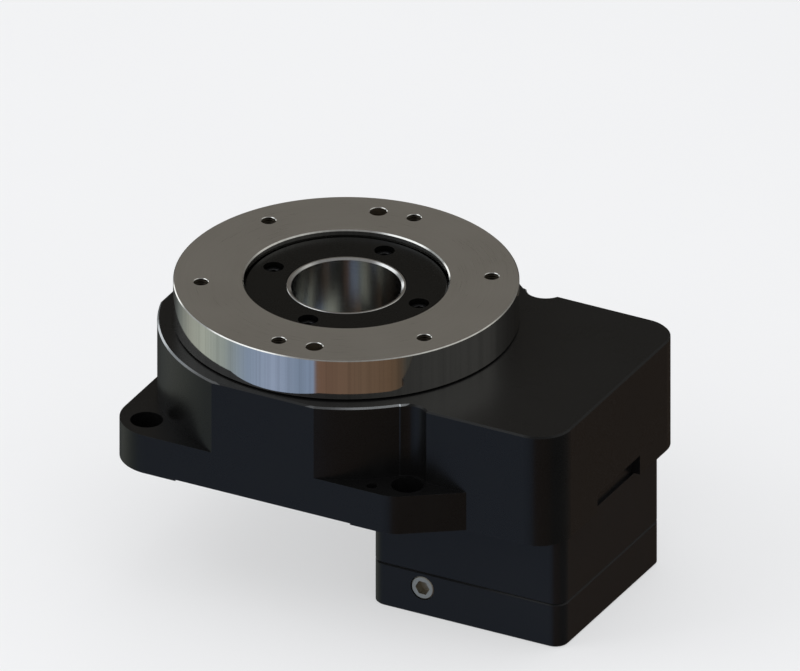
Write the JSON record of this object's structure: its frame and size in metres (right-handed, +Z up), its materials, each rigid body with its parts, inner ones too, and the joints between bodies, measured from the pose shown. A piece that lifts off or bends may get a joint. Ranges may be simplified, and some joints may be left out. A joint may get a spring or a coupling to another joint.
{
  "type": "hollow rotary platform",
  "caption": "Geared rotary table: a steel ring turns on a crossed-roller bearing round a fixed open bore, driven by a pinion from a square motor adapter below.",
  "frame": {"origin": "on the table's axis, in the face that the platform stands on; the motor adapter hangs below that face", "axes": "+Z up along the table's axis, +X towards the gearbox and the motor adapter"},
  "size_m": [0.1409, 0.104, 0.085],
  "materials": {
    "housing_black": "black anodised, fine matt",
    "hub_black": "black anodised",
    "ring_black": "black anodised, satin",
    "adapter_black": "black anodised, fine matt",
    "table_steel": "ground top, turned bright side",
    "tube_bright": "bright turned",
    "plug_bright": "bright",
    "gear_steel": "ground",
    "bearing_steel": "polished",
    "collar_steel": "phosphated",
    "spring_steel": "oiled black",
    "screw_black": "black oxide",
    "rubber_black": "matt",
    "cage_resin": "moulded",
    "cage_brass": "machined"
  },
  "bodies": {
    "root": {"housing": "housing_black", "core_hub": "hub_black", "hub_screws": "screw_black", "hub_o_ring": "rubber_black", "core_tube": "tube_bright", "clamp_ring": "ring_black", "clamp_ring_screws": "screw_black", "dust_seal": "rubber_black", "bearing_inner_ring": "bearing_steel", "adapter_body": "adapter_black", "adapter_body_screws": "screw_black", "adapter_o_ring": "rubber_black", "adapter_plate": "adapter_black", "adapter_plate_screws": "screw_black", "access_plug": "plug_bright", "upper_outer_race": "bearing_steel", "lower_outer_race": "bearing_steel", "bore_circlip": "spring_steel", "shaft_seal": "rubber_black"},
    "table": {"table": "table_steel", "output_gear": "gear_steel", "gear_screws": "screw_black", "bearing_upper_ring": "bearing_steel", "bearing_lower_ring": "bearing_steel"},
    "roller_set": {"cross_rollers": "bearing_steel", "roller_spacers": "cage_resin"},
    "pinion": {"pinion_shaft": "gear_steel", "upper_inner_race": "bearing_steel", "lower_inner_race": "bearing_steel", "race_spacer": "gear_steel", "shaft_circlip": "spring_steel", "clamp_collar": "collar_steel", "collar_screw": "screw_black"},
    "ball_sets": {"upper_balls": "bearing_steel", "lower_balls": "bearing_steel", "upper_cage": "cage_brass", "lower_cage": "cage_brass"}
  },
  "joints": [
    {"name": "table_turn", "type": "hinge", "parent": "root", "child": "table", "pos_m": [0, 0, 0.0375], "axis": [0, 0, 1], "continuous": true},
    {"name": "roller_orbit", "type": "hinge", "parent": "root", "child": "roller_set", "pos_m": [0, 0, 0.0375], "axis": [0, 0, 1], "continuous": true},
    {"name": "pinion_turn", "type": "hinge", "parent": "root", "child": "pinion", "pos_m": [0.0554, 0, 0.01], "axis": [0, 0, 1], "continuous": true},
    {"name": "ball_orbit", "type": "hinge", "parent": "root", "child": "ball_sets", "pos_m": [0.0554, 0, 0], "axis": [0, 0, 1], "continuous": true}
  ],
  "couplings": [
    {"joint": "roller_orbit", "follows": "table_turn", "ratio": 0.5234},
    {"joint": "pinion_turn", "follows": "table_turn", "ratio": -5},
    {"joint": "ball_orbit", "follows": "table_turn", "ratio": -2.079}
  ]
}
